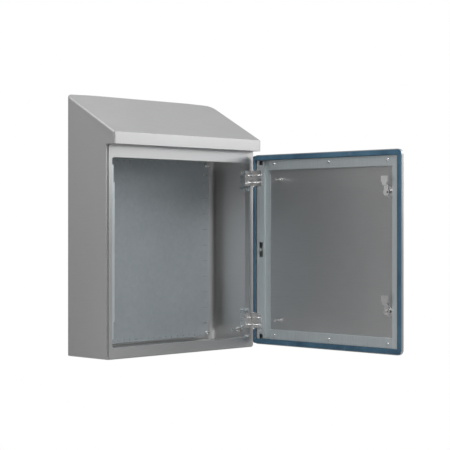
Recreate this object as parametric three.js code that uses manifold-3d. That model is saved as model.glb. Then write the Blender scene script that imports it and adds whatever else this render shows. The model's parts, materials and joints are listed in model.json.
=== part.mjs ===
// Wall-mounted washdown enclosure with a sloping roof, a hinged door on the right and a mounting plate.
// Bench frame while building: X to the right seen from the front, Y toward the wall, whose face is at
// rearFace, Z = 0 on the underside. The outer group then moves everything, so that the part's origin is
// on the wall face at the centre of the four wall-fixing holes. Millimetres throughout.
import * as THREE from "three";
import { mergeVertices } from "three/addons/utils/BufferGeometryUtils.js";
import Module from "manifold-3d";

const wasm = await Module();
wasm.setup();

// ---------------------------------------------------------------- driving dimensions
const width = 610;
const frontHeight = 650;
const rearHeight = 772;
const depth = 222;
const rearFace = 12;
const fasciaFront = rearFace - depth;
const sheet = 2;
const gap = 0.3;

const bodyFront = -176; // front edge of the side walls
const fasciaBottom = 617;
const rearCornerRadius = 28;
const rearBottomRadius = 22;
const sideBottomRadius = 9;
const halfWidth = width / 2;
const roofRise = (rearHeight - frontHeight) / depth;
const roofSheetUp = sheet * Math.hypot(1, roofRise); // roof sheet measured straight up

const wallHoleHalfPitch = 265;
const wallHoleHeights = [40, 610];
const wallHoleRadius = 4.5;
const originHeight = (wallHoleHeights[0] + wallHoleHeights[1]) / 2;

const frameFace = -180; // front of the raised sealing frame
const frameHalfOuter = 297.5;
const frameHalfInner = 285;
const frameBottom = 4;
const frameTop = fasciaBottom - 0.4;
const openBottom = 32.6;
const openTop = 579;
const frameReturnEnd = -160;
const leftReturnEnd = -175;

const doorMiddle = 307.5; // height of the door's centre line
const doorHalfWidth = 289.5;
const doorHalfHeight = 296;
const doorCornerRadius = 16;
const doorFace = -197;
const doorRim = -185.7;
const lipSheet = 1.5;
const sealBack = -185.4;
const sealFace = -180.4;
const sealFree = -288; // outer edges of the seal on the lock side and on the hinge side
const sealHinge = 288.3;
const sealHalfHeight = 293.2;
const sealFreeBand = 11;
const sealHingeBand = 5.6;
const sealEnd = 14;
const dipBack = -189.4;
const dipFace = -186.1;

const pivotX = 293.5;
const pivotY = -186.4;
const openAngle = Math.PI / 2; // the part is modelled with its door open
const hingeOffset = 223; // centre of each hinge above and below the door's centre line
const hingeHeight = 48;
const middleKnuckle = 22;
const knuckleRadius = 3.6;
const pinRadius = 1.6;
const leafFace = -183.4;
const leafSheet = 2;

const railFace = -185.7;
const railSheet = 1.5;
const lockX = -240;
const lockOffset = 172;
const camReach = 38;
const camHubFront = -180.6;
const camTipFront = -171.9;
const camSheet = 3;

const plateHalfWidth = 265.5;
const plateBottom = 28;
const plateTop = 587;
const plateFront = -18;
const plateSheet = 2.5;

// ---------------------------------------------------------------- materials
const metal = (color, roughness) => new THREE.MeshStandardMaterial({ color, roughness, metalness: 1 });
const brushedSteel = metal(0xa6a8aa, 0.38);
const railSteel = metal(0x9aa3a3, 0.42);
const zincPlate = metal(0x7d868a, 0.5);
const hingeSteel = metal(0xb8babb, 0.35);
const boltSteel = metal(0xc4c6c8, 0.28);
const sealRubber = new THREE.MeshStandardMaterial({ color: 0x3c6284, roughness: 0.62, metalness: 0 });

// ---------------------------------------------------------------- shape helpers
function solidOf(geometry) {
  const bare = geometry.clone();
  bare.deleteAttribute("normal");
  bare.deleteAttribute("uv");
  const merged = mergeVertices(bare, 1e-4);
  return new wasm.Manifold(
    new wasm.Mesh({
      numProp: 3,
      vertProperties: new Float32Array(merged.attributes.position.array),
      triVerts: new Uint32Array(merged.index.array),
    }),
  );
}

function geometryOf(solid) {
  const mesh = solid.getMesh();
  const geometry = new THREE.BufferGeometry();
  geometry.setAttribute("position", new THREE.BufferAttribute(mesh.vertProperties, 3));
  geometry.setIndex(new THREE.BufferAttribute(mesh.triVerts, 1));
  const flat = geometry.toNonIndexed();
  flat.computeVertexNormals();
  return flat;
}

const joined = (first, ...rest) => rest.reduce((sum, next) => sum.add(next), first);
const cut = (first, ...rest) => rest.reduce((sum, next) => sum.subtract(next), first);

function block(x0, x1, y0, y1, z0, z1) {
  const box = new THREE.BoxGeometry(x1 - x0, y1 - y0, z1 - z0);
  box.translate((x0 + x1) / 2, (y0 + y1) / 2, (z0 + z1) / 2);
  return solidOf(box);
}

// A round bar along "x", "y" or "z", from start to end, about the point (a, b) of the other two axes.
function bar(axis, a, b, start, end, radius, sides = 20) {
  const round = new THREE.CylinderGeometry(radius, radius, end - start, sides);
  const middle = (start + end) / 2;
  if (axis === "x") round.rotateZ(Math.PI / 2).translate(middle, a, b);
  if (axis === "y") round.translate(a, middle, b);
  if (axis === "z") round.rotateX(Math.PI / 2).translate(a, b, middle);
  return solidOf(round);
}

function outline(points) {
  return new THREE.Shape(points.map(([u, v]) => new THREE.Vector2(u, v)));
}

function roundedOutline(u0, u1, v0, v1, radius) {
  const shape = new THREE.Shape();
  shape.moveTo(u0 + radius, v0);
  shape.lineTo(u1 - radius, v0);
  shape.absarc(u1 - radius, v0 + radius, radius, -Math.PI / 2, 0);
  shape.lineTo(u1, v1 - radius);
  shape.absarc(u1 - radius, v1 - radius, radius, 0, Math.PI / 2);
  shape.lineTo(u0 + radius, v1);
  shape.absarc(u0 + radius, v1 - radius, radius, Math.PI / 2, Math.PI);
  shape.lineTo(u0, v0 + radius);
  shape.absarc(u0 + radius, v0 + radius, radius, Math.PI, 1.5 * Math.PI);
  return shape;
}

function extrude(shape, length, curveSegments = 6) {
  return new THREE.ExtrudeGeometry(shape, { depth: length, bevelEnabled: false, curveSegments });
}

// Outlines drawn in plan (x, y), from the front (x, z) and from the side (y, z).
const planPrism = (shape, z0, z1, segments) =>
  solidOf(extrude(shape, z1 - z0, segments).translate(0, 0, z0));
const frontPrism = (shape, y0, y1, segments) =>
  solidOf(extrude(shape, y1 - y0, segments).rotateX(Math.PI / 2).translate(0, y1, 0));
const sidePrism = (shape, x0, x1, segments) =>
  solidOf(extrude(shape, x1 - x0, segments).rotateY(Math.PI / 2).rotateX(Math.PI / 2).translate(x0, 0, 0));

const frontPlate = (x0, x1, z0, z1, radius, y0, y1, segments = 4) =>
  frontPrism(roundedOutline(x0, x1, z0, z1, radius), y0, y1, segments);

const frontRing = (half, bottom, top, radius, halfIn, bottomIn, topIn, radiusIn, y0, y1) =>
  cut(
    frontPlate(-half, half, bottom, top, radius, y0, y1),
    frontPlate(-halfIn, halfIn, bottomIn, topIn, radiusIn, y0 - 1, y1 + 1),
  );

function node(name, solid, material, parent) {
  const mesh = new THREE.Mesh(geometryOf(solid), material);
  mesh.name = name;
  parent.add(mesh);
  return mesh;
}

// ---------------------------------------------------------------- welded body
const roofAt = (y) => rearHeight + (y - rearFace) * roofRise;

function bodyPlan(inset, front) {
  const side = halfWidth - inset;
  const radius = rearCornerRadius - inset;
  const bendStart = rearFace - rearCornerRadius;
  const shape = new THREE.Shape();
  shape.moveTo(-side, front);
  shape.lineTo(side, front);
  shape.lineTo(side, bendStart);
  shape.absarc(side - radius, bendStart, radius, 0, Math.PI / 2);
  shape.lineTo(radius - side, rearFace - inset);
  shape.absarc(radius - side, bendStart, radius, Math.PI / 2, Math.PI);
  return shape;
}

// Rounds the two lower side edges: the shape seen from the front, with its top out of the way.
function lowerRounding(inset) {
  const side = halfWidth - inset;
  const radius = sideBottomRadius - inset;
  return frontPlate(-side, side, inset, rearHeight + 50, radius, fasciaFront - 5, rearFace + 5, 6);
}

const lowerBendStart = rearFace - rearBottomRadius;

function bodyOuter() {
  const side = new THREE.Shape();
  side.moveTo(bodyFront, 0);
  side.lineTo(lowerBendStart, 0);
  side.absarc(lowerBendStart, rearBottomRadius, rearBottomRadius, -Math.PI / 2, 0);
  side.lineTo(rearFace, rearHeight);
  side.lineTo(fasciaFront, frontHeight);
  side.lineTo(fasciaFront, fasciaBottom);
  side.lineTo(bodyFront, fasciaBottom);
  const plan = planPrism(bodyPlan(0, fasciaFront - 1), -1, rearHeight + 1, 8);
  return plan.intersect(sidePrism(side, -halfWidth - 1, halfWidth + 1, 8)).intersect(lowerRounding(0));
}

function bodyCavity() {
  const radius = rearBottomRadius - sheet;
  const flangeEnd = bodyFront + sheet;
  const side = new THREE.Shape();
  side.moveTo(bodyFront - sheet, sheet);
  side.lineTo(lowerBendStart, sheet);
  side.absarc(lowerBendStart, rearBottomRadius, radius, -Math.PI / 2, 0);
  side.lineTo(rearFace - sheet, roofAt(rearFace - sheet) - roofSheetUp);
  side.lineTo(fasciaFront + sheet, roofAt(fasciaFront + sheet) - roofSheetUp);
  side.lineTo(fasciaFront + sheet, fasciaBottom + sheet);
  side.lineTo(flangeEnd, fasciaBottom + sheet);
  side.lineTo(flangeEnd, fasciaBottom - 0.1);
  side.lineTo(bodyFront - sheet, fasciaBottom - 0.1);
  const plan = planPrism(bodyPlan(sheet, fasciaFront - 2), -2, rearHeight + 2, 8);
  return plan.intersect(sidePrism(side, -halfWidth - 2, halfWidth + 2, 8)).intersect(lowerRounding(sheet));
}

// The bent strip that holds the roof slope, the fascia and the flange under it, seen from the side.
function roofStrip(clearance) {
  const under = (y) => roofAt(y) - roofSheetUp - clearance;
  const back = fasciaFront + sheet + clearance;
  const flangeEnd = bodyFront + sheet + clearance;
  const flangeTop = fasciaBottom + sheet + clearance;
  const low = fasciaBottom - 1;
  const points = [
    [fasciaFront - 3, low],
    [flangeEnd, low],
    [flangeEnd, flangeTop],
    [back, flangeTop],
    [back, under(back)],
    [rearFace + 3, under(rearFace + 3)],
    [rearFace + 3, rearHeight + 20],
    [fasciaFront - 3, rearHeight + 20],
  ];
  return sidePrism(outline(points), -halfWidth - 3, halfWidth + 3);
}

function addBodyShell(body) {
  const outer = bodyOuter();
  const shell = outer.subtract(bodyCavity());
  const floorEdge = halfWidth - sideBottomRadius - 1;
  const floorBack = lowerBendStart - 1;
  const floorCut = block(-floorEdge - gap, floorEdge + gap, bodyFront - 5, floorBack + gap, -1, sheet + 0.5);
  const through = [rearFace - 5, rearFace + 5];
  const holes = [-1, 1].flatMap((side) =>
    wallHoleHeights.map((z) => bar("y", side * wallHoleHalfPitch, z, ...through, wallHoleRadius, 16)),
  );
  node("body_wrapper", cut(shell, roofStrip(gap), floorCut, ...holes), brushedSteel, body);
  node("roof_panel", shell.intersect(roofStrip(0)), brushedSteel, body);
  const floor = block(-floorEdge, floorEdge, bodyFront, floorBack, 0, sheet);
  node("floor_panel", floor, brushedSteel, body);
}

function addFrontFrame(body) {
  const stepHalf = frameHalfOuter - sheet;
  const baseHalf = halfWidth - sheet - gap;
  const base = frontRing(
    baseHalf, sheet + gap, frameTop, sideBottomRadius - sheet, stepHalf, frameBottom + sheet,
    frameTop - sheet, 8, bodyFront, bodyFront + sheet,
  );
  const step = frontRing(
    frameHalfOuter, frameBottom, frameTop, 10, stepHalf, frameBottom + sheet, frameTop - sheet, 8,
    frameFace, bodyFront + 1,
  );
  const face = frontRing(
    frameHalfOuter, frameBottom, frameTop, 10, frameHalfInner, openBottom, openTop, 8,
    frameFace, frameFace + sheet,
  );
  const lining = frontRing(
    frameHalfInner + sheet, openBottom - sheet, openTop + sheet, 9, frameHalfInner, openBottom, openTop, 8,
    frameFace, frameReturnEnd,
  );
  const shortLeft = block(
    -frameHalfInner - 4, -frameHalfInner + 4, leftReturnEnd, frameReturnEnd + 5, openBottom + 12, openTop - 12,
  );
  node("front_frame", joined(base, step, face, cut(lining, shortLeft)), brushedSteel, body);
}

// The strip that the cams close behind: broad where they turn, narrow towards its ends.
function addKeeperStrip(body) {
  const back = leftReturnEnd + gap + 2.5;
  const left = -frameHalfInner - sheet;
  const broad = block(left, -271, leftReturnEnd + gap, back, doorMiddle - 200, doorMiddle + 200);
  const narrow = block(left, -275, leftReturnEnd + gap, back, doorMiddle - 250, doorMiddle + 250);
  node("keeper_strip", joined(broad, narrow), railSteel, body);
}

// ---------------------------------------------------------------- mounting plate and earthing
const plateStudX = 249;
const plateStudHeights = [40, 575];
const studTip = -33;

function addMountingPlate(body) {
  const chamferX = 11;
  const chamferZ = 44;
  const w = plateHalfWidth;
  const shape = outline([
    [-w + chamferX, plateBottom], [w - chamferX, plateBottom], [w, plateBottom + chamferZ],
    [w, plateTop - chamferZ], [w - chamferX, plateTop], [-w + chamferX, plateTop],
    [-w, plateTop - chamferZ], [-w, plateBottom + chamferZ],
  ]);
  const back = plateFront + plateSheet;
  const through = [plateFront - 2, back + 2];
  const studHoles = [-1, 1].flatMap((side) =>
    plateStudHeights.map((z) => bar("y", side * plateStudX, z, ...through, 4.6, 12)),
  );
  const slots = [-1, 1].flatMap((side) =>
    [doorMiddle - 237, doorMiddle + 237].map((z) =>
      frontPlate(side * 247 - 8, side * 247 + 8, z - 2.5, z + 2.5, 2.4, ...through, 2),
    ),
  );
  const edgeHoles = [];
  for (let x = -225; x <= 225; x += 25) {
    edgeHoles.push(bar("y", x, plateBottom + 7, ...through, 2, 6));
    edgeHoles.push(bar("y", x, plateTop - 7, ...through, 2, 6));
  }
  const plate = frontPrism(shape, plateFront, back);
  node("mounting_plate", cut(plate, ...studHoles, ...slots, ...edgeHoles), zincPlate, body);
}

// A hexagon nut round a stud along the given axis.
function nutSolid(axis, a, b, start, end, across, bore, boreSides = 12) {
  const hexagon = bar(axis, a, b, start, end, across / Math.sqrt(3), 6);
  return cut(hexagon, bar(axis, a, b, start - 1, end + 1, bore, boreSides));
}

function addPlateFixings(body) {
  const wall = rearFace - sheet - gap;
  const corners = [-1, 1].flatMap((side) => plateStudHeights.map((z) => [side * plateStudX, z]));
  corners.forEach(([x, z], i) => {
    const stud = joined(
      bar("y", x, z, studTip, wall, 4, 12),
      bar("y", x, z, plateFront + plateSheet + gap, wall, 7, 12),
    );
    node(`plate_stud_${i + 1}`, stud, boltSteel, body);
    const nut = nutSolid("y", x, z, plateFront - gap - 6.5, plateFront - gap, 13, 4.3);
    node(`plate_nut_${i + 1}`, nut, boltSteel, body);
  });
}

function addEarthPoint(body) {
  const y = -119;
  const z = 52;
  const wall = halfWidth - sheet - gap;
  const stud = joined(bar("x", y, z, wall - 33, wall, 4, 12), bar("x", y, z, wall - 3, wall, 8, 16));
  node("earth_stud", stud, boltSteel, body);
  const washer = cut(
    bar("x", y, z, wall - 5.1, wall - 3.3, 9, 16),
    bar("x", y, z, wall - 6, wall - 2, 4.3, 12),
  );
  node("earth_washer", washer, boltSteel, body);
  node("earth_nut", nutSolid("x", y, z, wall - 11.9, wall - 5.4, 13, 4.3), boltSteel, body);
}

// ---------------------------------------------------------------- hinges
const cover = { left: 262, back: -160.5, front: -183, sheet: 2.4 };
const jamb = frameHalfInner - gap; // the bracket lies on this side of the opening
const bracket = { front: -178, back: -141, beyond: 15, sheet: 2 };
const nutYs = [-168, -149];

function addBodyHinge(body, label, z, towardMiddle) {
  const half = hingeHeight / 2;
  const inner = middleKnuckle / 2 + 0.3;
  const { left, back, front, sheet: t } = cover;
  const folded = outline([
    [left, back], [left, front], [pivotX, front], [pivotX, front + t], [left + t, front + t],
    [left + t, back - t], [jamb - bracket.sheet - gap, back - t], [jamb - bracket.sheet - gap, back],
  ]);
  const knuckles = [[z + inner, z + half], [z - half, z - inner]].map(([z0, z1]) =>
    bar("z", pivotX, pivotY, z0, z1, knuckleRadius, 20),
  );
  const clearance = cut(
    bar("z", pivotX, pivotY, z - inner, z + inner, knuckleRadius + gap, 20),
    block(0, pivotX - 6, -300, 0, z - inner, z + inner),
  );
  const bore = bar("z", pivotX, pivotY, z - half - 1, z + half + 1, pinRadius + gap, 12);
  const leaf = cut(joined(planPrism(folded, z - half, z + half), ...knuckles), clearance, bore);
  node(`hinge_body_leaf_${label}`, leaf, hingeSteel, body);
  addHingeBracket(body, label, z, towardMiddle);
}

// The bracket that fixes the leaf to the frame: two nuts beyond the leaf, a third on the leaf itself.
function addHingeBracket(body, label, z, towardMiddle) {
  const near = z + towardMiddle * (hingeHeight / 2 + bracket.beyond);
  const far = z - towardMiddle * (hingeHeight / 2);
  const inner = jamb - bracket.sheet;
  const nearNut = near - towardMiddle * 7.5;
  const pad = block(inner, jamb, bracket.front, bracket.back, Math.min(near, far), Math.max(near, far));
  const pegs = nutYs.map((y) => bar("x", y, nearNut, inner - 8, inner + 1, 3, 12));
  node(`hinge_bracket_${label}`, joined(pad, ...pegs), railSteel, body);
  nutYs.forEach((y, i) => {
    const nut = nutSolid("x", y, nearNut, inner - gap - 5, inner - gap, 10, 3.3);
    node(`hinge_nut_${label}_${i + 1}`, nut, boltSteel, body);
  });
  const onLeaf = cover.left - gap;
  const screw = joined(
    bar("x", cover.back - 7, far + towardMiddle * 6, onLeaf - 3, onLeaf, 4, 6),
    bar("x", cover.back - 7, far + towardMiddle * 6, onLeaf - 4.5, onLeaf - 2, 2, 12),
  );
  node(`hinge_screw_${label}`, screw, boltSteel, body);
}

function addDoorHinge(door, label, z) {
  const half = hingeHeight / 2;
  const fingerHalf = middleKnuckle / 2 - 0.3;
  const leafEnd = 255;
  const fingerStart = pivotX - knuckleRadius - 1;
  const back = leafFace - leafSheet;
  const plate = block(leafEnd, fingerStart, back, leafFace, z - half, z + half);
  const finger = block(fingerStart - 1, pivotX, back, leafFace, z - fingerHalf, z + fingerHalf);
  const knuckle = bar("z", pivotX, pivotY, z - fingerHalf, z + fingerHalf, knuckleRadius, 20);
  const bore = bar("z", pivotX, pivotY, z - half, z + half, pinRadius + gap, 12);
  node(`hinge_door_leaf_${label}`, cut(joined(plate, finger, knuckle), bore), hingeSteel, door);
}

function addHingePin(body, label, z) {
  const half = hingeHeight / 2;
  const shank = bar("z", pivotX, pivotY, z - half, z + half + 1, pinRadius, 12);
  const head = bar("z", pivotX, pivotY, z + half + gap, z + half + 1.8, pinRadius + 1.2, 12);
  node(`hinge_pin_${label}`, joined(shank, head), boltSteel, body);
}

// ---------------------------------------------------------------- door
const doorBottom = doorMiddle - doorHalfHeight;
const doorTop = doorMiddle + doorHalfHeight;
const hingeHeights = { upper: doorMiddle + hingeOffset, lower: doorMiddle - hingeOffset };
const lockHeights = { upper: doorMiddle + lockOffset, lower: doorMiddle - lockOffset };

// Room for the hinge leaf where it crosses the door's lip and its seal.
function hingeNotches(x0, x1, y0, more = 0) {
  const half = hingeHeight / 2 + 2.5 + more;
  return Object.values(hingeHeights).map((z) => block(x0, x1, y0, -170, z - half, z + half));
}

function addDoorSkin(door) {
  const wall = sheet;
  const lipEdge = sealHinge - sealHingeBand - 1.5;
  const outer = frontPlate(
    -doorHalfWidth, doorHalfWidth, doorBottom, doorTop, doorCornerRadius, doorFace, doorRim, 6,
  );
  const inside = frontPlate(
    -doorHalfWidth + wall, doorHalfWidth - wall, doorBottom + wall, doorTop - wall,
    doorCornerRadius - wall, doorFace + wall, doorRim - lipSheet, 6,
  );
  const mouth = frontPlate(
    sealFree + sealFreeBand + 1.5, lipEdge, doorBottom + 16.5, doorTop - 16.5, 1,
    doorFace + wall + 1, doorRim + 1, 3,
  );
  const bores = Object.values(lockHeights).map((z) =>
    bar("y", lockX, z, doorFace - 2, doorFace + 6, 11.4, 24),
  );
  const notches = hingeNotches(lipEdge - 1, doorHalfWidth - wall, dipBack - gap, 3);
  const skin = cut(outer, inside, mouth, ...bores, ...notches);
  node("door_skin", skin, brushedSteel, door);
}

function addDoorSeal(door) {
  const [bottom, top] = [doorMiddle - sealHalfHeight, doorMiddle + sealHalfHeight];
  const ring = cut(
    frontPlate(sealFree, sealHinge, bottom, top, 6, sealBack, sealFace),
    frontPlate(
      sealFree + sealFreeBand, sealHinge - sealHingeBand, bottom + sealEnd, top - sealEnd, 3,
      sealBack - 1, sealFace + 1,
    ),
  );
  // Under each hinge leaf the seal dips into the gap that the door's lip leaves.
  const dips = Object.values(hingeHeights).flatMap((z) => {
    const half = hingeHeight / 2 + 2.5;
    const [x0, x1] = [sealHinge - sealHingeBand, sealHinge - sealHingeBand + 3];
    return [
      block(x0, x1, dipBack, dipFace, z - half - 2.5, z + half + 2.5),
      block(x0, x1, dipBack, sealFace - 1, z + half, z + half + 2.5),
      block(x0, x1, dipBack, sealFace - 1, z - half - 2.5, z - half),
    ];
  });
  const cleared = cut(ring, ...hingeNotches(sealHinge - sealHingeBand - 1, sealHinge + 1, sealBack - 1));
  node("door_seal", joined(cleared, ...dips), sealRubber, door);
}

// A channel rail in plan: its web faces the inside of the enclosure, its legs stand on the door.
function channelPlan(x0, x1) {
  const floor = doorFace + sheet + gap;
  const t = railSheet;
  return outline([
    [x0, floor], [x0, railFace], [x1, railFace], [x1, floor], [x1 - t, floor], [x1 - t, railFace - t],
    [x0 + t, railFace - t], [x0 + t, floor],
  ]);
}

function channelSide(z0, z1) {
  const floor = doorFace + sheet + gap;
  const t = railSheet;
  return outline([
    [floor, z0], [floor, z0 + t], [railFace - t, z0 + t], [railFace - t, z1 - t], [floor, z1 - t],
    [floor, z1], [railFace, z1], [railFace, z0],
  ]);
}

const railHalfHeight = 278.5;
const railScrewXs = [202, -18.5, -240];
const railScrewOffset = 265.3;
const hingeRail = { left: 246, right: 279.2, foot: 20.5 };
const lockRail = { left: -274.8, right: -256 };

function addDoorRails(door) {
  const bottom = doorMiddle - railHalfHeight;
  const top = doorMiddle + railHalfHeight;
  const squares = [-1, 1].map((side) => {
    const z = doorMiddle + side * 271;
    return block(251, 266, railFace - 3, railFace + 1, z - 7, z + 7);
  });
  const slot = block(251, 266, railFace - 3, railFace + 1, doorMiddle - 23, doorMiddle + 23);
  const floor = doorFace + sheet + gap;
  const foot = block(
    hingeRail.left - hingeRail.foot, hingeRail.left + railSheet, floor, floor + railSheet, bottom, top,
  );
  const hingeSide = planPrism(channelPlan(hingeRail.left, hingeRail.right), bottom, top);
  node("rail_hinge_side", cut(joined(hingeSide, foot), ...squares, slot), railSteel, door);
  const lockSide = planPrism(channelPlan(lockRail.left, lockRail.right), bottom, top);
  node("rail_lock_side", lockSide, railSteel, door);

  const right = hingeRail.left - hingeRail.foot - gap;
  const left = lockRail.right + gap;
  const screwHoles = (z) => railScrewXs.map((x) => bar("y", x, z, railFace - 3, railFace + 1, 2.8, 12));
  const topRail = sidePrism(channelSide(top - 30.5, top), left, right);
  node("rail_top", cut(topRail, ...screwHoles(doorMiddle + railScrewOffset)), railSteel, door);
  const bottomRail = sidePrism(channelSide(bottom, bottom + 30.5), left, right);
  node("rail_bottom", cut(bottomRail, ...screwHoles(doorMiddle - railScrewOffset)), railSteel, door);
}

function addRailScrews(door) {
  [1, -1].forEach((side) => {
    railScrewXs.forEach((x, i) => {
      const z = doorMiddle + side * railScrewOffset;
      const screw = joined(
        bar("y", x, z, railFace + gap, railFace + 2.8, 4.6, 16),
        bar("y", x, z, railFace - 8, railFace + gap + 1, 2.4, 10),
      );
      node(`rail_screw_${side > 0 ? "top" : "bottom"}_${i + 1}`, screw, boltSteel, door);
    });
  });
  const bolt = joined(
    bar("y", 258.5, doorMiddle, doorFace + sheet + gap, railFace + 1, 3, 12),
    bar("y", 258.5, doorMiddle, railFace - 0.5, railFace + 2.5, 5.5, 6),
  );
  node("rail_bolt", bolt, boltSteel, door);
}

function addDoorStuds(door) {
  const x = 180;
  const base = doorFace + sheet + gap;
  Object.entries({ upper: 217, lower: -217 }).forEach(([label, offset]) => {
    const z = doorMiddle + offset;
    const stud = joined(bar("y", x, z, base, base + 33, 3, 12), bar("y", x, z, base, base + 2, 6, 16));
    node(`door_stud_${label}`, stud, boltSteel, door);
    node(`door_stud_nut_${label}`, nutSolid("y", x, z, base + 2.3, base + 7.3, 10, 3.3), boltSteel, door);
  });
}

// ---------------------------------------------------------------- quarter-turn locks
const lockBodyRadius = 11;
const spindleRadius = 5;
const barrelEnd = -181.2;

function addLock(door, label, z) {
  const headBack = doorFace - 1.5;
  const barrel = bar("y", lockX, z, headBack - 1, barrelEnd, lockBodyRadius, 24);
  const head = bar("y", lockX, z, headBack - 4, headBack, 16, 32);
  const bore = bar("y", lockX, z, headBack - 5, barrelEnd + 5, spindleRadius + gap, 20);
  const socket = bar("y", lockX, z, headBack - 5, headBack + 4, 7.5, 24);
  node(`lock_housing_${label}`, cut(joined(barrel, head), bore, socket), hingeSteel, door);
  const seal = cut(
    bar("y", lockX, z, headBack + 0.2, doorFace - 0.2, 15, 28),
    bar("y", lockX, z, headBack - 1, doorFace + 1, lockBodyRadius + gap, 24),
  );
  node(`lock_seal_${label}`, seal, sealRubber, door);
  const nutStart = doorFace + sheet + gap;
  const nut = nutSolid("y", lockX, z, nutStart, nutStart + 5, 27, lockBodyRadius + gap, 24);
  node(`lock_nut_${label}`, nut, hingeSteel, door);
  addCam(door, label, z, headBack);
}

// A cranked cam: its hub lies close to the door and its tip reaches behind the keeper strip.
function addCam(door, label, z, headBack) {
  const insert = bar("y", lockX, z, headBack - 1.5, headBack + 3, 7, 3);
  const spindle = joined(
    insert,
    bar("y", lockX, z, headBack, camHubFront - gap, spindleRadius, 20),
    block(lockX - 3.5, lockX + 3.5, camHubFront - 1, camHubFront + camSheet + 0.5, z - 3.5, z + 3.5),
  );
  const threadHole = bar("y", lockX, z, -188, camHubFront + 10, 2.4 + gap, 12);
  node(`lock_spindle_${label}`, cut(spindle, threadHole), hingeSteel, door);

  const hubBack = camHubFront + camSheet;
  const tipBack = camTipFront + camSheet;
  const [stepFoot, stepEnd] = [z + 20, z + 23];
  const square = block(lockX - 3.8, lockX + 3.8, camHubFront - 5, hubBack + 5, z - 3.8, z + 3.8);
  const cam = joined(
    bar("y", lockX, z, camHubFront, hubBack, 10.5, 24),
    block(lockX - 8, lockX + 8, camHubFront, hubBack, z, stepEnd),
    block(lockX - 8, lockX + 8, camHubFront, tipBack, stepFoot, stepEnd),
    frontPlate(lockX - 12, lockX + 12, z + camReach - 9, z + camReach + 9, 2, camTipFront, tipBack),
    block(lockX - 8, lockX + 8, camTipFront, tipBack, stepFoot, z + camReach),
  );
  node(`lock_cam_${label}`, cut(cam, square), railSteel, door);

  const seat = hubBack + 0.5 + gap;
  const screw = joined(
    bar("y", lockX, z, seat, seat + 4, 6.5, 6),
    bar("y", lockX, z, -186, seat + 1, 2.4, 12),
  );
  node(`cam_screw_${label}`, screw, boltSteel, door);
}

// ---------------------------------------------------------------- assembly
const enclosure = new THREE.Group();
enclosure.position.set(0, -rearFace, -originHeight);

addBodyShell(enclosure);
addFrontFrame(enclosure);
addKeeperStrip(enclosure);
addMountingPlate(enclosure);
addPlateFixings(enclosure);
addEarthPoint(enclosure);

// The door is drawn shut and then swung open about the line of its hinge pins.
const doorSwing = new THREE.Group();
doorSwing.position.set(pivotX, pivotY, 0);
doorSwing.rotation.z = openAngle;
const door = new THREE.Group();
door.position.set(-pivotX, -pivotY, 0);
doorSwing.add(door);
enclosure.add(doorSwing);

addDoorSkin(door);
addDoorSeal(door);
addDoorRails(door);
addRailScrews(door);
addDoorStuds(door);
for (const [label, z] of Object.entries(hingeHeights)) {
  addBodyHinge(enclosure, label, z, label === "upper" ? -1 : 1);
  addHingePin(enclosure, label, z);
  addDoorHinge(door, label, z);
}
for (const [label, z] of Object.entries(lockHeights)) {
  addLock(door, label, z);
}

const part = new THREE.Group();
part.add(enclosure);

export default part;
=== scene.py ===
import json
import math

import bmesh
import bpy
from mathutils import Matrix, Vector

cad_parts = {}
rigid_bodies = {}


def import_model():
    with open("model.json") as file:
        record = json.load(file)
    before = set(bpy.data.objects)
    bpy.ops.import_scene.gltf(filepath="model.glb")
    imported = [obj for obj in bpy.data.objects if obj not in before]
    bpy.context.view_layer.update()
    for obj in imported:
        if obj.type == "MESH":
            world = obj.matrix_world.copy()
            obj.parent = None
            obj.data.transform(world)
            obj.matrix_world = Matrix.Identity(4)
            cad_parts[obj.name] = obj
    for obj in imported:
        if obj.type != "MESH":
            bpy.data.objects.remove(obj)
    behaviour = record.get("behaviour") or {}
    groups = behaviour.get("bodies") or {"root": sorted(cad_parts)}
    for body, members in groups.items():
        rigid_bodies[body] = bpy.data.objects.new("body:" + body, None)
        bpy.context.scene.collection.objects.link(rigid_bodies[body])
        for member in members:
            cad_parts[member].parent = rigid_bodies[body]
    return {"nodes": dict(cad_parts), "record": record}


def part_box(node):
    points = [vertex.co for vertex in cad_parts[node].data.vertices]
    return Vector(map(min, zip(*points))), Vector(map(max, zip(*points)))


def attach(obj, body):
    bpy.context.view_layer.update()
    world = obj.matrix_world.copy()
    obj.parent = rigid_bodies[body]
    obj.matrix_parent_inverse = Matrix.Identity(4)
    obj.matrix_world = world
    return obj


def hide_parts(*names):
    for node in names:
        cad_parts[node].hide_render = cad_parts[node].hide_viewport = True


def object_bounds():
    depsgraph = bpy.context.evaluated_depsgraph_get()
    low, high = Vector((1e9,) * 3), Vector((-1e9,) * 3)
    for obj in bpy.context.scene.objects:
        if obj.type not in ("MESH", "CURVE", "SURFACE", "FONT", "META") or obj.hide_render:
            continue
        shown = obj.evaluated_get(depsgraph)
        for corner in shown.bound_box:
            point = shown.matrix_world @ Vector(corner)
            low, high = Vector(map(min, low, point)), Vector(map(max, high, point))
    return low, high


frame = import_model()
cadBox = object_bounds()
scene = bpy.context.scene
bodyOf = {node: body for body, nodes in frame["record"]["behaviour"]["bodies"].items() for node in nodes}
slotOf = {entry["node"]: entry["material_slot"] for entry in frame["record"]["subparts"]}
print("frame loaded:", len(frame["nodes"]), "nodes")

# camera

cameraSetup = {
    "place": (-2.8856, -3.1981, 0.0648),
    "turnDegrees": 45.54,  # to the right of straight on
    "lens": 111.1,
    "shift": (-0.0018, -0.0039),
}


def addCamera(setup):
    data = bpy.data.cameras.new("camera")
    data.lens = setup["lens"]
    data.sensor_width = 36
    data.shift_x, data.shift_y = setup["shift"]
    data.clip_end = 200
    camera = bpy.data.objects.new("camera", data)
    camera.location = setup["place"]
    camera.rotation_euler = (math.radians(90), 0, -math.radians(setup["turnDegrees"]))
    scene.collection.objects.link(camera)
    scene.camera = camera


addCamera(cameraSetup)
print("camera placed")

# shader groups


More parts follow.
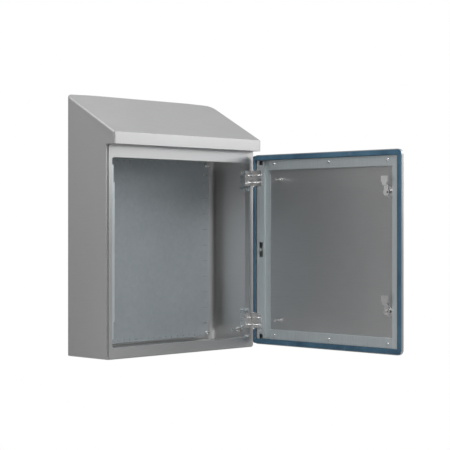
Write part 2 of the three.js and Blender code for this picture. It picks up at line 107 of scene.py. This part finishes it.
def newGroup(name, inputs, outputs):
    group = bpy.data.node_groups.new(name, "ShaderNodeTree")
    for label, kind, value in inputs:
        socket = group.interface.new_socket(name=label, in_out="INPUT", socket_type=kind)
        socket.default_value = value
    for label, kind in outputs:
        group.interface.new_socket(name=label, in_out="OUTPUT", socket_type=kind)
    return group, group.nodes.new("NodeGroupInput"), group.nodes.new("NodeGroupOutput")


def addNode(tree, kind, **values):
    node = tree.nodes.new(kind)
    for key, value in values.items():
        if hasattr(node, key):
            setattr(node, key, value)
        else:
            node.inputs[key.replace("_", " ")].default_value = value
    return node


def mathNode(tree, operation, a, b=None):
    node = tree.nodes.new("ShaderNodeMath")
    node.operation = operation
    for socket, value in zip(node.inputs, (a, b)):
        if value is None:
            continue
        if isinstance(value, (int, float)):
            socket.default_value = value
        else:
            tree.links.new(value, socket)
    return node.outputs[0]


def brushedGroup():
    # fine parallel scratches with slow cloudy changes under them, for rolled and brushed sheet
    group, entry, out = newGroup(
        "brushedSheet",
        [("Grain", "NodeSocketVector", (700, 700, 18)), ("Cloud", "NodeSocketFloat", 5.0)],
        [("Scratch", "NodeSocketFloat"), ("Cloudiness", "NodeSocketFloat")],
    )
    place = addNode(group, "ShaderNodeTexCoord")
    stretch = addNode(group, "ShaderNodeVectorMath", operation="MULTIPLY")
    group.links.new(place.outputs["Object"], stretch.inputs[0])
    group.links.new(entry.outputs["Grain"], stretch.inputs[1])
    fine = addNode(group, "ShaderNodeTexNoise", Scale=1.0, Detail=4.0, Roughness=0.62)
    group.links.new(stretch.outputs[0], fine.inputs["Vector"])
    coarse = addNode(group, "ShaderNodeTexNoise", Detail=3.0, Roughness=0.55, Distortion=0.4)
    group.links.new(place.outputs["Object"], coarse.inputs["Vector"])
    group.links.new(entry.outputs["Cloud"], coarse.inputs["Scale"])
    group.links.new(fine.outputs["Fac"], out.inputs["Scratch"])
    group.links.new(coarse.outputs["Fac"], out.inputs["Cloudiness"])
    return group


def handlingGroup():
    # smears and specks left by hands and cloths
    group, entry, out = newGroup(
        "handlingMarks",
        [("Size", "NodeSocketFloat", 9.0), ("Amount", "NodeSocketFloat", 0.5)],
        [("Mark", "NodeSocketFloat")],
    )
    place = addNode(group, "ShaderNodeTexCoord")
    smear = addNode(group, "ShaderNodeTexNoise", Detail=6.0, Roughness=0.7, Distortion=1.2)
    group.links.new(place.outputs["Object"], smear.inputs["Vector"])
    group.links.new(entry.outputs["Size"], smear.inputs["Scale"])
    shaped = addNode(group, "ShaderNodeMapRange", interpolation_type="SMOOTHSTEP")
    shaped.inputs["From Min"].default_value = 0.55
    shaped.inputs["From Max"].default_value = 0.78
    group.links.new(smear.outputs["Fac"], shaped.inputs["Value"])
    mark = mathNode(group, "MULTIPLY", shaped.outputs[0], entry.outputs["Amount"])
    group.links.new(mark, out.inputs["Mark"])
    return group


def paintedEdgeHighlightGroup():
    # painted highlight: lighter colour along convex edges, taken from the mesh's pointiness
    group, entry, out = newGroup(
        "paintedEdgeHighlight",
        [("Low", "NodeSocketFloat", 0.52), ("High", "NodeSocketFloat", 0.62)],
        [("EdgeHighlight", "NodeSocketFloat")],
    )
    shape = addNode(group, "ShaderNodeNewGeometry")
    spread = addNode(group, "ShaderNodeMapRange")
    group.links.new(shape.outputs["Pointiness"], spread.inputs["Value"])
    group.links.new(entry.outputs["Low"], spread.inputs["From Min"])
    group.links.new(entry.outputs["High"], spread.inputs["From Max"])
    group.links.new(spread.outputs[0], out.inputs["EdgeHighlight"])
    return group


brushedSheet = brushedGroup()
handlingMarks = handlingGroup()
paintedEdgeHighlight = paintedEdgeHighlightGroup()
print("shader groups built")

# finishes


def placeGroup(tree, group, **values):
    node = tree.nodes.new("ShaderNodeGroup")
    node.node_tree = group
    for key, value in values.items():
        node.inputs[key].default_value = value
    return node


def mixColour(tree, factor, first, second):
    node = tree.nodes.new("ShaderNodeMix")
    node.data_type = "RGBA"
    for socket, value in ((node.inputs[0], factor), (node.inputs[6], first), (node.inputs[7], second)):
        if isinstance(value, (int, float)):
            socket.default_value = value
        elif isinstance(value, (tuple, list)):
            socket.default_value = (*value, 1)
        else:
            tree.links.new(value, socket)
    return node.outputs[2]


def spreadValue(tree, value, low, high, fromLow=0.3, fromHigh=0.7):
    node = tree.nodes.new("ShaderNodeMapRange")
    tree.links.new(value, node.inputs["Value"])
    for key, number in (("From Min", fromLow), ("From Max", fromHigh), ("To Min", low), ("To Max", high)):
        node.inputs[key].default_value = number
    return node.outputs[0]


def newFinish(name):
    finish = bpy.data.materials.new(name)
    finish.use_nodes = True
    tree = finish.node_tree
    shader = tree.nodes["Principled BSDF"]
    return finish, tree, shader


def sheetSteel(name, values):
    finish, tree, shader = newFinish(name)
    shader.inputs["Metallic"].default_value = values["metallic"]
    brushed = placeGroup(tree, brushedSheet, Grain=values["grain"], Cloud=values["cloud"])
    marks = placeGroup(tree, handlingMarks, Size=values["markSize"], Amount=values["markAmount"])
    edgeHighlightNode = placeGroup(tree, paintedEdgeHighlight)
    scratch = spreadValue(tree, brushed.outputs["Scratch"], 0, 1)
    cloud = spreadValue(tree, brushed.outputs["Cloudiness"], 0, 1)
    streaked = mixColour(tree, scratch, values["dark"], values["light"])
    cloudShare = mathNode(tree, "MULTIPLY", cloud, values["cloudTint"])
    clouded = mixColour(tree, cloudShare, streaked, values["light"])
    # painted highlight: the edge colour is mixed in along convex edges
    edgeHighlightShare = mathNode(tree, "MULTIPLY", edgeHighlightNode.outputs["EdgeHighlight"], values["edgeHighlightTint"])
    edgeHighlighted = mixColour(tree, edgeHighlightShare, clouded, values["edge"])
    tree.links.new(edgeHighlighted, shader.inputs["Base Color"])
    rough = spreadValue(tree, brushed.outputs["Scratch"], *values["roughness"])
    smear = mathNode(tree, "MULTIPLY", marks.outputs["Mark"], values["markRoughness"])
    smeared = mathNode(tree, "ADD", rough, smear)
    uneven = mathNode(tree, "MULTIPLY", cloud, values["cloudRoughness"])
    tree.links.new(mathNode(tree, "ADD", smeared, uneven), shader.inputs["Roughness"])
    bump = addNode(tree, "ShaderNodeBump", Strength=values["bump"], Distance=values["bumpDistance"])
    tree.links.new(brushed.outputs["Scratch"], bump.inputs["Height"])
    tree.links.new(bump.outputs[0], shader.inputs["Normal"])
    return finish


sheetValues = {
    "metallic": 1.0,
    "grain": (18, 18, 900),
    "cloud": 4.0,
    "markSize": 7.0,
    "markAmount": 0.5,
    "dark": (0.57, 0.57, 0.57),
    "light": (0.63, 0.63, 0.63),
    # edge and edgeHighlightTint: colour and share of the painted highlight along convex edges
    "edge": (0.72, 0.72, 0.725),
    "cloudTint": 0.5,
    "edgeHighlightTint": 0.5,
    "roughness": (0.36, 0.42),
    "markRoughness": 0.12,  # added where the sheet has been handled
    "cloudRoughness": 0.04,
    "bump": 0.02,
    "bumpDistance": 0.0002,
}
railValues = {
    **sheetValues,
    "metallic": 0.7,
    "grain": (500, 500, 30),
    "dark": (0.52, 0.57, 0.585),
    "light": (0.65, 0.71, 0.725),
    # colour of the painted highlight along the rails' convex edges
    "edge": (0.80, 0.84, 0.85),
    "roughness": (0.36, 0.46),
}
hingeValues = {
    **sheetValues,
    "grain": (40, 40, 600),
    "cloud": 40.0,
    "markAmount": 0.1,
    "bump": 0.0,
    "dark": (0.74, 0.735, 0.73),
    "light": (0.86, 0.855, 0.85),
    # colour of the painted highlight along the hinge leaves' convex edges
    "edge": (0.93, 0.93, 0.93),
    "roughness": (0.22, 0.32),
}
boltValues = {
    **hingeValues,
    "dark": (0.82, 0.82, 0.82),
    "light": (0.92, 0.92, 0.91),
    # colour of the painted highlight along the bolts' convex edges
    "edge": (0.96, 0.96, 0.95),
    "roughness": (0.10, 0.18),
}
plateValues = {
    "dark": (0.42, 0.465, 0.49),
    "light": (0.465, 0.51, 0.535),
    "mark": (0.25, 0.29, 0.31),
    # edge and edgeHighlightTint: colour and share of the painted highlight along the plate's convex edges
    "edge": (0.5, 0.55, 0.57),
    "edgeHighlightTint": 0.4,
    "spangle": 90.0,
    "spangleTint": 0.35,
    "toneRange": (0.4, 0.95),
    "metallic": 0.6,
    "roughness": (0.50, 0.58),
    "smearRoughness": 0.1,
    "pitch": 0.05,  # between the scale marks
    "markShift": 5.006,  # 100 pitches, which keep the sum positive, and 6 mm to place the marks
    "markTint": 0.8,
    "markWidth": 0.0012,
    "markRun": (0.235, 0.259),  # how far out from the plate's middle the marks lie
    "markTop": 0.21,
}


def zincSteel(name, values):
    finish, tree, shader = newFinish(name)
    shader.inputs["Metallic"].default_value = values["metallic"]
    place = addNode(tree, "ShaderNodeTexCoord")
    spangle = addNode(tree, "ShaderNodeTexVoronoi", Scale=values["spangle"], Randomness=1.0)
    tree.links.new(place.outputs["Object"], spangle.inputs["Vector"])
    crystal = addNode(tree, "ShaderNodeSeparateColor")
    tree.links.new(spangle.outputs["Color"], crystal.inputs[0])
    cloud = addNode(tree, "ShaderNodeTexNoise", Scale=6.0, Detail=4.0)
    tree.links.new(place.outputs["Object"], cloud.inputs["Vector"])
    flake = mathNode(tree, "MULTIPLY", crystal.outputs[0], values["spangleTint"])
    tone = mathNode(tree, "ADD", flake, cloud.outputs["Fac"])
    coatShare = spreadValue(tree, tone, 0, 1, *values["toneRange"])
    coat = mixColour(tree, coatShare, values["dark"], values["light"])
    # short scale marks up both sides of the plate
    axes = addNode(tree, "ShaderNodeSeparateXYZ")
    tree.links.new(place.outputs["Object"], axes.inputs[0])
    raised = mathNode(tree, "ADD", axes.outputs["Z"], values["markShift"])
    step = mathNode(tree, "MODULO", raised, values["pitch"])
    line = mathNode(tree, "LESS_THAN", step, values["markWidth"])
    out = mathNode(tree, "ABSOLUTE", axes.outputs["X"])
    pastStart = mathNode(tree, "GREATER_THAN", out, values["markRun"][0])
    beforeEnd = mathNode(tree, "LESS_THAN", out, values["markRun"][1])
    inRun = mathNode(tree, "MULTIPLY", pastStart, beforeEnd)
    inHeight = mathNode(tree, "LESS_THAN", mathNode(tree, "ABSOLUTE", axes.outputs["Z"]), values["markTop"])
    mark = mathNode(tree, "MULTIPLY", line, mathNode(tree, "MULTIPLY", inRun, inHeight))
    marked = mixColour(tree, mathNode(tree, "MULTIPLY", mark, values["markTint"]), coat, values["mark"])
    # painted highlight: the edge colour is mixed in along the plate's convex edges
    edgeHighlightNode = placeGroup(tree, paintedEdgeHighlight)
    edgeHighlightShare = mathNode(tree, "MULTIPLY", edgeHighlightNode.outputs["EdgeHighlight"], values["edgeHighlightTint"])
    edgeHighlighted = mixColour(tree, edgeHighlightShare, marked, values["edge"])
    tree.links.new(edgeHighlighted, shader.inputs["Base Color"])
    rough = spreadValue(tree, crystal.outputs[1], *values["roughness"], 0, 1)
    smear = placeGroup(tree, handlingMarks, Size=5.0, Amount=0.6)
    smearShare = mathNode(tree, "MULTIPLY", smear.outputs["Mark"], values["smearRoughness"])
    smeared = mathNode(tree, "ADD", rough, smearShare)
    tree.links.new(smeared, shader.inputs["Roughness"])
    bump = addNode(tree, "ShaderNodeBump", Strength=0.05, Distance=0.0002)
    tree.links.new(spangle.outputs["Distance"], bump.inputs["Height"])
    tree.links.new(bump.outputs[0], shader.inputs["Normal"])
    return finish


rubberValues = {
    "deep": (0.034, 0.092, 0.150),
    "worn": (0.072, 0.168, 0.255),
    "dust": (0.22, 0.30, 0.37),
    "roughness": (0.47, 0.65),
    "poreScale": 1400.0,
    "cloudScale": 12.0,
    "dustSize": 30.0,
    "dustAmount": 0.35,
}


def siliconeRubber(name, values):
    finish, tree, shader = newFinish(name)
    place = addNode(tree, "ShaderNodeTexCoord")
    pores = addNode(tree, "ShaderNodeTexNoise", Scale=values["poreScale"], Detail=3.0)
    tree.links.new(place.outputs["Object"], pores.inputs["Vector"])
    slow = addNode(tree, "ShaderNodeTexNoise", Scale=values["cloudScale"], Detail=4.0)
    tree.links.new(place.outputs["Object"], slow.inputs["Vector"])
    tone = mixColour(tree, spreadValue(tree, slow.outputs["Fac"], 0, 1), values["deep"], values["worn"])
    dust = placeGroup(tree, handlingMarks, Size=values["dustSize"], Amount=values["dustAmount"])
    dusty = mixColour(tree, dust.outputs["Mark"], tone, values["dust"])
    tree.links.new(dusty, shader.inputs["Base Color"])
    rough = spreadValue(tree, pores.outputs["Fac"], *values["roughness"])
    tree.links.new(rough, shader.inputs["Roughness"])
    bump = addNode(tree, "ShaderNodeBump", Strength=0.25, Distance=0.0001)
    tree.links.new(pores.outputs["Fac"], bump.inputs["Height"])
    tree.links.new(bump.outputs[0], shader.inputs["Normal"])
    shader.inputs["Specular IOR Level"].default_value = 0.45
    return finish


finishes = {
    "brushed_steel": sheetSteel("brushedSteel", sheetValues),
    "rail_steel": sheetSteel("railSteel", railValues),
    "hinge_steel": sheetSteel("hingeSteel", hingeValues),
    "bolt_steel": sheetSteel("boltSteel", boltValues),
    "zinc_plate": zincSteel("zincPlate", plateValues),
    "seal_rubber": siliconeRubber("sealRubber", rubberValues),
}
for node, thing in frame["nodes"].items():
    thing.data.materials.clear()
    thing.data.materials.append(finishes[slotOf[node]])
print("finishes made")

# mesh helpers

sharpDegrees = 35  # faces that meet at more than this are shaded apart


def keepPiece(bm, name, body, slot, standsFor):
    for face in bm.faces:
        face.smooth = True
    mesh = bpy.data.meshes.new(name)
    bm.to_mesh(mesh)
    bm.free()
    mesh.set_sharp_from_angle(angle=math.radians(sharpDegrees))
    mesh.materials.append(finishes[slot])
    piece = bpy.data.objects.new(name, mesh)
    scene.collection.objects.link(piece)
    flatten = piece.modifiers.new("evenNormals", "WEIGHTED_NORMAL")
    flatten.mode = "FACE_AREA"
    flatten.weight = 100
    flatten.keep_sharp = True
    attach(piece, body)
    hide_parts(*standsFor)


def bevelEdges(bm, edges, width, segments):
    bmesh.ops.connect_verts_concave(bm, faces=bm.faces)
    bmesh.ops.bevel(
        bm, geom=edges, offset=width, offset_type="OFFSET", segments=segments, profile=0.5,
        affect="EDGES", clamp_overlap=True, material=-1,
    )


def sharpEdges(bm, degrees=30):
    return [e for e in bm.edges if e.is_manifold and e.calc_face_angle(0) > math.radians(degrees)]


def workedCopy(node):
    bm = bmesh.new()
    bm.from_mesh(frame["nodes"][node].data)
    bmesh.ops.remove_doubles(bm, verts=bm.verts, dist=2e-6)
    bmesh.ops.dissolve_limit(bm, angle_limit=math.radians(1.5), verts=bm.verts, edges=bm.edges)
    return bm


def softenedPiece(node, width, slot, roundFirst, roundWidth):
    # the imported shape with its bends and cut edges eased
    bm = workedCopy(node)
    if roundFirst:
        bevelEdges(bm, [e for e in sharpEdges(bm) if roundFirst(e)], roundWidth, 5)
    bevelEdges(bm, sharpEdges(bm), width, 2)
    keepPiece(bm, node + "_soft", bodyOf[node], slot, [node])


# welded shell

shellValues = {
    "sheet": 0.002,
    "rearRadius": 0.028,
    "rearBottomRadius": 0.022,
    "sideBottomRadius": 0.009,
    "roofSideRadius": 0.006,
    "roofFoldRadius": 0.0025,
    "rimRadius": 0.0004,
    "frontHeight": 0.650,
    "cavityReach": 0.02,  # how far the cavity runs out past the front edge
    "flangeGap": 0.0001,  # left below the flange of the overhang
    "blankDepth": 0.5,  # the solids that trim the shell's corners run well past it
    "blankBottom": -0.6,
    "blankTop": 0.8,
}


def boxMesh(low, high):
    bm = bmesh.new()
    bmesh.ops.create_cube(bm, size=1)
    size = Vector(high) - Vector(low)
    bmesh.ops.scale(bm, verts=bm.verts, vec=size)
    bmesh.ops.translate(bm, verts=bm.verts, vec=Vector(low) + size / 2)
    return bm


def runs(edge, axis):
    return abs((edge.verts[1].co - edge.verts[0].co).normalized()[axis]) > 0.999


def lies(edge, axis, place):
    return all(abs(v.co[axis] - place) < 1e-4 for v in edge.verts)


def combine(first, second, operation):
    # one solid from two, with both of them used up
    pair = []
    for bm in (first, second):
        mesh = bpy.data.meshes.new("work")
        bm.to_mesh(mesh)
        bm.free()
        thing = bpy.data.objects.new("work", mesh)
        scene.collection.objects.link(thing)
        pair.append(thing)
    tool = pair[0].modifiers.new("join", "BOOLEAN")
    tool.operation = operation
    tool.object = pair[1]
    tool.solver = "EXACT"
    result = bmesh.new()
    result.from_object(pair[0], bpy.context.evaluated_depsgraph_get())
    for thing in pair:
        bpy.data.objects.remove(thing)
    bmesh.ops.dissolve_limit(result, angle_limit=math.radians(1), verts=result.verts, edges=result.edges)
    return result


def shellSolid(values, inset):
    wallLow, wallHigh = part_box("body_wrapper")
    roofLow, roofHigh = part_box("roof_panel")
    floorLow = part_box("floor_panel")[0]
    side = wallHigh.x - inset
    back = wallHigh.y - inset
    bottom = wallLow.z + inset
    brow = wallLow.z + values["frontHeight"]
    slope = (roofHigh.z - brow) / -roofLow.y
    drop = inset * math.hypot(1, slope)  # sheet measured straight down from the slope
    front = floorLow.y
    profile = [
        (back, roofHigh.z - drop - slope * inset), (roofLow.y + inset, brow - drop + slope * inset),
        (roofLow.y + inset, roofLow.z + inset),
    ]
    if inset:  # the cavity runs out through the front, under the flange of the overhang
        out = front - values["cavityReach"]
        under = roofLow.z - values["flangeGap"]
        profile += [(front + inset, roofLow.z + inset), (front + inset, under)]
        profile += [(out, under), (out, bottom)]
    else:
        profile += [(front, roofLow.z), (front, bottom)]
    profile.append((back, bottom))
    bm = bmesh.new()
    cheek = bm.faces.new([bm.verts.new((-side, y, z)) for y, z in profile])
    grown = bmesh.ops.extrude_face_region(bm, geom=[cheek])
    far = [v for v in grown["geom"] if isinstance(v, bmesh.types.BMVert)]
    bmesh.ops.translate(bm, verts=far, vec=(2 * side, 0, 0))
    bmesh.ops.recalc_face_normals(bm, faces=bm.faces)
    rearBottom = [e for e in bm.edges if lies(e, 1, back) and lies(e, 2, bottom)]
    bevelEdges(bm, rearBottom, values["rearBottomRadius"] - inset, 12)

    reach = values["blankDepth"]
    plan = boxMesh((-side, -reach, values["blankBottom"]), (side, back, values["blankTop"]))
    rearCorners = [e for e in plan.edges if runs(e, 2) and lies(e, 1, back)]
    bevelEdges(plan, rearCorners, values["rearRadius"] - inset, 14)
    section = boxMesh((-side, -reach, bottom), (side, reach, values["blankTop"]))
    sideBottoms = [e for e in section.edges if runs(e, 1) and lies(e, 2, bottom)]
    bevelEdges(section, sideBottoms, values["sideBottomRadius"] - inset, 10)
    return combine(combine(bm, plan, "INTERSECT"), section, "INTERSECT")


def buildShell(values):
    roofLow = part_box("roof_panel")[0]
    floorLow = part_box("floor_panel")[0]
    outside = shellSolid(values, 0)
    slope = max((f for f in outside.faces if 0.8 < f.normal.z < 0.95), key=lambda f: f.calc_area())
    sides = [e for e in slope.edges if not lies(e, 1, roofLow.y) and not lies(e, 1, 0)]
    sides += [e for e in outside.edges if runs(e, 2) and lies(e, 1, roofLow.y)]
    bevelEdges(outside, sides, values["roofSideRadius"], 6)
    alongFascia = [e for e in sharpEdges(outside, 25) if lies(e, 1, roofLow.y) and runs(e, 0)]
    folds = [e for e in alongFascia if e.calc_length() > 0.3]
    bevelEdges(outside, folds, values["roofFoldRadius"], 4)
    shell = combine(outside, shellSolid(values, values["sheet"]), "DIFFERENCE")
    rim = [e for e in sharpEdges(shell, 60) if lies(e, 1, floorLow.y)]
    bevelEdges(shell, rim, values["rimRadius"], 2)
    standsFor = ["body_wrapper", "roof_panel", "floor_panel"]
    keepPiece(shell, "welded_shell", "cabinet", "brushed_steel", standsFor)


buildShell(shellValues)
print("shell built")

# folded sheet, rails and hardware

softening = {
    "front_frame": 0.0008,
    "keeper_strip": 0.0005,
    "mounting_plate": 0.0004,
    "door_seal": 0.0012,
    "rail_hinge_side": 0.0006,
    "rail_lock_side": 0.0006,
    "rail_top": 0.0006,
    "rail_bottom": 0.0006,
}
hardwareSoftening = 0.00035

skinLow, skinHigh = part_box("door_skin")
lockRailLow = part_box("rail_lock_side")[0]
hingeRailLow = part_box("rail_hinge_side")[0]

doorValues = {"cornerRadius": 0.016, "bendRadius": 0.0025, "lip": 0.0085, "sheet": 0.002, "rimRadius": 0.0006}


def buildDoorSkin(values):
    bm = boxMesh(skinLow, skinHigh)
    bevelEdges(bm, [e for e in bm.edges if runs(e, 0)], values["cornerRadius"], 10)
    bevelEdges(bm, [e for e in bm.edges if lies(e, 0, skinHigh.x)], values["bendRadius"], 5)
    inner = [f for f in bm.faces if f.normal.x < -0.99]
    bmesh.ops.inset_region(bm, faces=inner, thickness=values["lip"], use_even_offset=True)
    grown = bmesh.ops.extrude_face_region(bm, geom=inner)
    floor = [v for v in grown["geom"] if isinstance(v, bmesh.types.BMVert)]
    bmesh.ops.translate(bm, verts=floor, vec=(skinHigh.x - values["sheet"] - skinLow.x, 0, 0))
    bmesh.ops.delete(bm, geom=inner, context="FACES")
    bmesh.ops.recalc_face_normals(bm, faces=bm.faces)
    bevelEdges(bm, [e for e in sharpEdges(bm) if lies(e, 0, skinLow.x)], values["rimRadius"], 3)
    keepPiece(bm, "door_pan", "door", "brushed_steel", ["door_skin"])


def onLockRailBend(edge):
    return lies(edge, 0, lockRailLow.x) and lies(edge, 1, lockRailLow.y)


def onHingeRailBend(edge):
    return lies(edge, 0, hingeRailLow.x) and runs(edge, 2) and edge.calc_length() > 0.5


bends = {
    "rail_lock_side": (onLockRailBend, 0.0035),
    "rail_hinge_side": (onHingeRailBend, 0.004),
}
screwDome = 0.0021


def domeRim(node):
    # the outer rim of a rail screw's head, which faces out of the open door
    return lambda edge: lies(edge, 0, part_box(node)[0].x)


grooveValues = {
    "fromMiddle": 0.011,
    "radius": 0.002,
    "depth": 0.0008,
    "pastEnd": 0.002,
    "clearOfPin": 0.0045,
}


def groovedLeaf(node, faceAxis, values):
    # a hinge leaf with two shallow grooves that divide it into three bands
    bm = workedCopy(node)
    bevelEdges(bm, sharpEdges(bm), hardwareSoftening, 2)
    low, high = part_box(node)
    runAxis = 1 - faceAxis
    pin = frame["record"]["behaviour"]["joints"][0]["pos_m"]
    facing = [f for f in bm.faces if f.normal[faceAxis] < -0.99]
    face = max(facing, key=lambda f: f.calc_area()).calc_center_median()[faceAxis]
    start = low[runAxis] - values["pastEnd"]
    end = pin[runAxis] - values["clearOfPin"]
    for side in (-1, 1):
        tool = bmesh.new()
        bmesh.ops.create_cone(
            tool, cap_ends=True, segments=28, radius1=values["radius"], radius2=values["radius"],
            depth=end - start,
        )
        turn = Matrix.Rotation(math.pi / 2, 3, "Y" if runAxis == 0 else "X")
        bmesh.ops.rotate(tool, verts=tool.verts, cent=(0, 0, 0), matrix=turn)
        place = Vector((0, 0, (low.z + high.z) / 2 + side * values["fromMiddle"]))
        place[runAxis] = (start + end) / 2
        place[faceAxis] = face - values["radius"] + values["depth"]
        bmesh.ops.translate(tool, verts=tool.verts, vec=place)
        bm = combine(bm, tool, "DIFFERENCE")
    keepPiece(bm, node + "_soft", bodyOf[node], slotOf[node], [node])


buildDoorSkin(doorValues)
built = ["body_wrapper", "roof_panel", "floor_panel", "door_skin"]
for level in ("upper", "lower"):
    groovedLeaf("hinge_body_leaf_" + level, 1, grooveValues)
    groovedLeaf("hinge_door_leaf_" + level, 0, grooveValues)
    built += ["hinge_body_leaf_" + level, "hinge_door_leaf_" + level]
for node in frame["nodes"]:
    if node in built:
        continue
    chosen, radius = bends.get(node, (None, 0))
    if node.startswith("rail_screw"):
        chosen, radius = domeRim(node), screwDome
    slot = "bolt_steel" if node.startswith("lock_cam") else slotOf[node]
    softenedPiece(node, softening.get(node, hardwareSoftening), slot, chosen, radius)
print("sheet and hardware eased")

# studio

studio = {
    "floorDrop": 0.75,  # below the underside
    "floorColour": (0.45, 0.45, 0.45),
    "skyLow": (0.36, 0.36, 0.36),
    "skyMiddle": (0.55, 0.55, 0.55),
    "skyHigh": (0.95, 0.95, 0.96),
    "skyStrength": 0.76,
    "dimSide": (-0.71, -0.70, 0.0),  # the room is darkest in front on the left
    "dimTo": 0.35,
    "backdrop": (1.0, 1.0, 1.0),
    "boxes": [
        {
            "name": "frontRight", "place": (2.1, -2.2, 1.25), "aim": (0, -0.2, 0.2), "size": (1.9, 1.5),
            "power": 20,
        },
        {
            "name": "overhead", "place": (-0.2, -0.8, 3.2), "aim": (0, -0.2, 0), "size": (2.6, 2.6),
            "power": 17,
        },
        {
            "name": "inside", "place": (-0.27, -0.11, 0.0), "aim": (0.3, -0.09, 0.0), "size": (0.06, 0.5),
            "power": 1.0, "only": "welded_shell",
        },
        {
            "name": "highFront", "place": (-1.4, -2.7, 3.0), "aim": (0, -0.2, 0), "size": (2.2, 1.8),
            "power": 100,
        },
    ],
}


def addStudio(values):
    floor = bmesh.new()
    bmesh.ops.create_circle(floor, cap_ends=True, radius=60, segments=96)
    bmesh.ops.translate(floor, verts=floor.verts, vec=(0, 0, cadBox[0].z - values["floorDrop"]))
    mesh = bpy.data.meshes.new("floor")
    floor.to_mesh(mesh)
    floor.free()
    finish, tree, shader = newFinish("paleFloor")
    shader.inputs["Base Color"].default_value = (*values["floorColour"], 1)
    shader.inputs["Roughness"].default_value = 0.9
    glow = addNode(tree, "ShaderNodeEmission", Strength=1.0)
    path = addNode(tree, "ShaderNodeLightPath")
    choice = addNode(tree, "ShaderNodeMixShader")
    tree.links.new(path.outputs["Is Camera Ray"], choice.inputs[0])
    tree.links.new(shader.outputs[0], choice.inputs[1])
    tree.links.new(glow.outputs[0], choice.inputs[2])
    tree.links.new(choice.outputs[0], tree.nodes["Material Output"].inputs["Surface"])
    mesh.materials.append(finish)
    obj = bpy.data.objects.new("floor", mesh)
    scene.collection.objects.link(obj)

    world = bpy.data.worlds.new("studio")
    scene.world = world
    world.use_nodes = True
    tree = world.node_tree
    tree.nodes.clear()
    place = addNode(tree, "ShaderNodeTexCoord")
    axes = addNode(tree, "ShaderNodeSeparateXYZ")
    tree.links.new(place.outputs["Generated"], axes.inputs[0])
    height = spreadValue(tree, axes.outputs["Z"], 0, 1, -1, 1)
    ramp = addNode(tree, "ShaderNodeValToRGB")
    tree.links.new(height, ramp.inputs[0])
    ramp.color_ramp.elements[0].color = (*values["skyLow"], 1)
    ramp.color_ramp.elements[1].color = (*values["skyHigh"], 1)
    middle = ramp.color_ramp.elements.new(0.5)
    middle.color = (*values["skyMiddle"], 1)
    facing = addNode(tree, "ShaderNodeVectorMath", operation="DOT_PRODUCT")
    facing.inputs[1].default_value = values["dimSide"]
    tree.links.new(place.outputs["Generated"], facing.inputs[0])
    dim = spreadValue(tree, facing.outputs["Value"], 1, values["dimTo"], 0.2, 0.95)
    around = addNode(tree, "ShaderNodeBackground")
    tree.links.new(ramp.outputs["Color"], around.inputs["Color"])
    tree.links.new(mathNode(tree, "MULTIPLY", dim, values["skyStrength"]), around.inputs["Strength"])
    plain = addNode(tree, "ShaderNodeBackground", Strength=1.0)
    plain.inputs["Color"].default_value = (*values["backdrop"], 1)
    path = addNode(tree, "ShaderNodeLightPath")
    choice = addNode(tree, "ShaderNodeMixShader")
    tree.links.new(path.outputs["Is Camera Ray"], choice.inputs[0])
    tree.links.new(around.outputs[0], choice.inputs[1])
    tree.links.new(plain.outputs[0], choice.inputs[2])
    output = addNode(tree, "ShaderNodeOutputWorld")
    tree.links.new(choice.outputs[0], output.inputs["Surface"])

    for box in values["boxes"]:
        data = bpy.data.lights.new(box["name"], "AREA")
        data.shape = "RECTANGLE"
        data.size, data.size_y = box["size"]
        data.energy = box["power"]
        lamp = bpy.data.objects.new(box["name"], data)
        lamp.location = box["place"]
        lamp.rotation_euler = (Vector(box["aim"]) - Vector(box["place"])).to_track_quat("-Z", "Y").to_euler()
        scene.collection.objects.link(lamp)
        if "only" in box:  # a fill that lights this one piece
            receivers = bpy.data.collections.new(box["name"] + "Receivers")
            receivers.objects.link(bpy.data.objects[box["only"]])
            lamp.light_linking.receiver_collection = receivers


addStudio(studio)
scene.view_settings.view_transform = "Standard"
scene.view_settings.look = "None"
print("studio lit")
